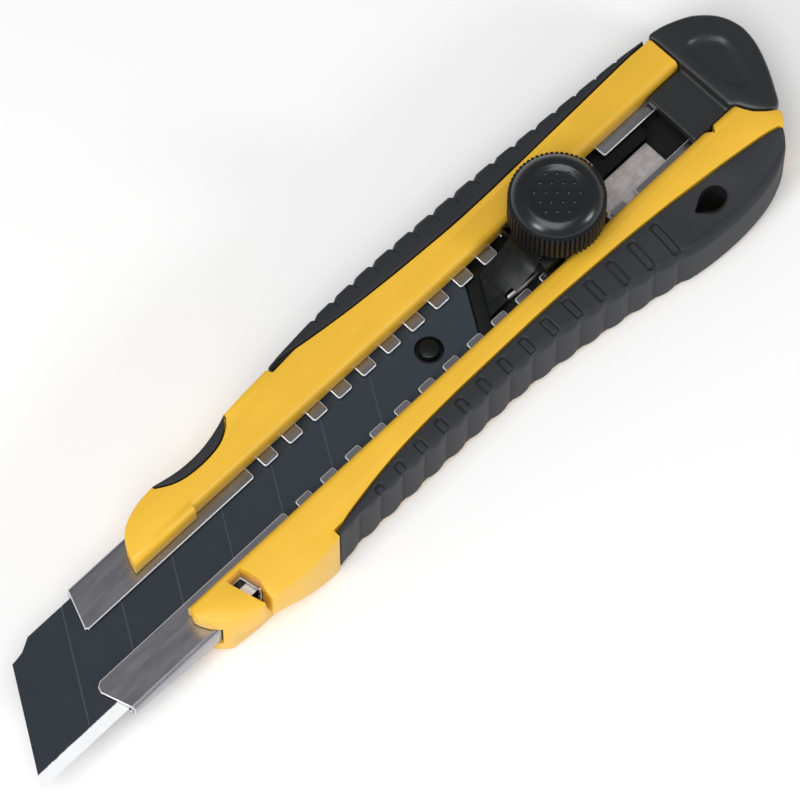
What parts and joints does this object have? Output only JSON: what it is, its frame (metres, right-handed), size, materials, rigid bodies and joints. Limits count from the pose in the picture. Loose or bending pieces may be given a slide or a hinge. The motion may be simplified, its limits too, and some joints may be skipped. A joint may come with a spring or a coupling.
{
  "type": "utility knife",
  "caption": "Snap-off utility knife: plastic handle with rubber grips, toothed steel blade channel, sliding blade carriage, screw-wheel lock and pull-off end cap.",
  "frame": {"origin": "on the flat back face of the handle, on the blade channel's centre line, where the run of teeth in the channel's lips starts", "axes": "+X along the knife towards its tail (the blade points to -X), +Y towards the blade's spine, +Z out of the knob; the knife lies on its back"},
  "size_m": [0.1559, 0.0328, 0.0229],
  "materials": {
    "yellow_abs": "moulded ABS, fine satin texture",
    "black_rubber": "overmoulded TPR, matte",
    "black_abs": "moulded ABS, satin",
    "gloss_black": "moulded plastic, glossy",
    "black_blade": "black-oxide coated carbon steel with a bare ground edge",
    "channel_steel": "folded spring steel strip, satin",
    "zinc_steel": "zinc-plated steel",
    "brass": "turned"
  },
  "bodies": {
    "handle": {"body": "yellow_abs", "edge_grip": "black_rubber", "spine_grip": "black_rubber", "thumb_pad": "black_rubber", "blade_channel": "channel_steel"},
    "carriage": {"slider": "gloss_black", "blade": "black_blade", "leaf_spring": "channel_steel", "detent_spring": "channel_steel", "washer": "zinc_steel"},
    "screw": {"lock_screw": "zinc_steel", "clamp_plate": "zinc_steel"},
    "knob": {"lock_knob": "gloss_black", "knob_insert": "brass"},
    "cap": {"end_cap": "black_abs"}
  },
  "joints": [
    {"name": "slider_slide", "type": "slide", "parent": "handle", "child": "carriage", "axis": [1, 0, 0], "range_m": [-0.05, 0.0175]},
    {"name": "knob_turn", "type": "hinge", "parent": "carriage", "child": "knob", "pos_m": [0.0584, 0, 0.0155], "axis": [0, 0, 1], "range_deg": [0, 270]},
    {"name": "screw_drop", "type": "slide", "parent": "carriage", "child": "screw", "axis": [0, 0, 1], "range_m": [-0.000525, 0]},
    {"name": "cap_slide", "type": "slide", "parent": "handle", "child": "cap", "axis": [1, 0, 0], "range_m": [0, 0.03]}
  ],
  "couplings": [
    {"joint": "knob_turn", "follows": "screw_drop", "rad_per_m": -8975.9}
  ]
}
